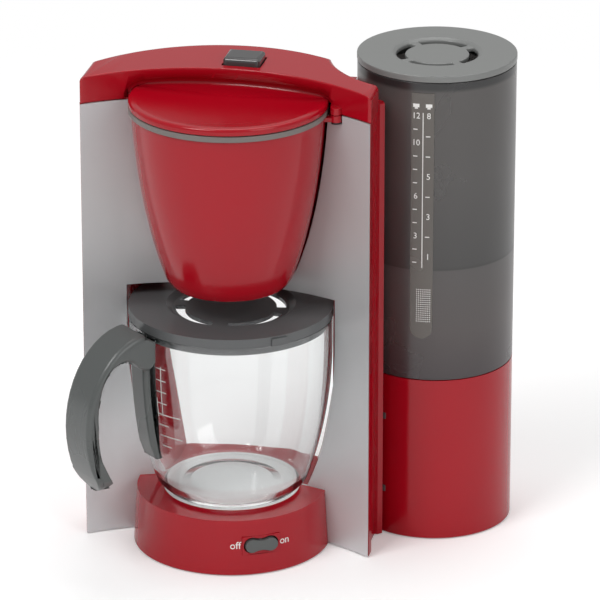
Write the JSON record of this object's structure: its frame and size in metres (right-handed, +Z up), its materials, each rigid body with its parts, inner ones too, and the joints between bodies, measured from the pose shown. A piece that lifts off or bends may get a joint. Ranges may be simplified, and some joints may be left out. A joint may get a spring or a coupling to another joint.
{
  "type": "toy coffee maker",
  "caption": "Toy drip coffee maker: concave tower with a swing-out filter cup, a clear lidded jug on a round base, and a round smoky water tank beside it.",
  "frame": {"origin": "centre of the round base's underside foot, on the surface the toy stands on, under the jug's axis", "axes": "+Z up; -Y towards the front where the jug slides out; +X towards the tank's side"},
  "size_m": [0.1974, 0.1643, 0.2397],
  "materials": {
    "red_gloss": "glossy deep red moulded shell",
    "dark_red": "dark red plastic in the recesses and underneath",
    "silver_panel": "silver plastic with a fine brushed look",
    "grey_trim": "mid grey satin plastic",
    "dark_trim": "dark grey gloss plastic",
    "ring_grey": "light warm grey plastic",
    "rubber": "matt black rubber",
    "steel": "plain steel",
    "clear_plastic": "clear moulded plastic",
    "smoke_plastic": "smoky see-through plastic",
    "plate_grey": "light grey plastic warming plate",
    "gauge_print": "thin light grey scale strip",
    "tube_plastic": "off-white plastic water tube"
  },
  "bodies": {
    "tower_unit": {"drum_shell": "red_gloss", "warming_plate": "plate_grey", "base_plate": "dark_red", "rubber_feet": "rubber", "base_screws": "steel", "switch_axle": "steel", "switch_bezel": "dark_red", "front_panel": "silver_panel", "tower_front": "red_gloss", "tower_back": "red_gloss", "tower_base_plate": "dark_red", "tank_cradle": "red_gloss", "cradle_clips": "dark_trim", "hood": "red_gloss", "hood_screws": "steel", "button_spring": "steel", "cup_lid": "red_gloss", "hinge_pin": "steel", "tank_base": "red_gloss", "tank_base_plate": "dark_red", "tank_spigot": "grey_trim", "water_tube": "tube_plastic", "drip_spout": "dark_trim"},
    "switch": {"switch_rocker": "grey_trim"},
    "button": {"button": "grey_trim", "button_clip": "dark_trim"},
    "filter": {"filter_cup": "red_gloss", "cup_ring": "ring_grey", "filter_basket": "dark_trim"},
    "jug": {"jug_body": "clear_plastic", "handle_outer": "grey_trim", "handle_inner": "grey_trim", "handle_screw": "steel"},
    "jug_cover": {"jug_lid": "dark_trim"},
    "tank": {"tank_body": "smoke_plastic", "tank_valve": "dark_trim", "valve_seal": "rubber", "gauge_strip": "gauge_print"},
    "tank_cover": {"tank_lid": "grey_trim"}
  },
  "joints": [
    {"name": "switch_rock", "type": "hinge", "parent": "tower_unit", "child": "switch", "pos_m": [0.02245, -0.03888, 0.0152], "axis": [0, 0, 1], "range_deg": [-7, 7]},
    {"name": "button_press", "type": "slide", "parent": "tower_unit", "child": "button", "axis": [0, 0, -1], "range_m": [0, 0.0018], "stiffness_N_per_m": 150, "springref_m": -0.001, "deforming": ["button_spring"]},
    {"name": "filter_swing", "type": "hinge", "parent": "tower_unit", "child": "filter", "pos_m": [0.0515, -0.003, 0.2], "axis": [0, 0, 1], "range_deg": [0, 80]},
    {"name": "jug_slide", "type": "slide", "parent": "tower_unit", "child": "jug", "axis": [0, -1, 0], "range_m": [0, 0.11]},
    {"name": "jug_lid_lift", "type": "slide", "parent": "jug", "child": "jug_cover", "axis": [0, 0, 1], "range_m": [0, 0.0045]},
    {"name": "tank_lift", "type": "slide", "parent": "tower_unit", "child": "tank", "axis": [0, 0, 1], "range_m": [0, 0.1]},
    {"name": "tank_lid_lift", "type": "slide", "parent": "tank", "child": "tank_cover", "axis": [0, 0, 1], "range_m": [0, 0.06]}
  ]
}
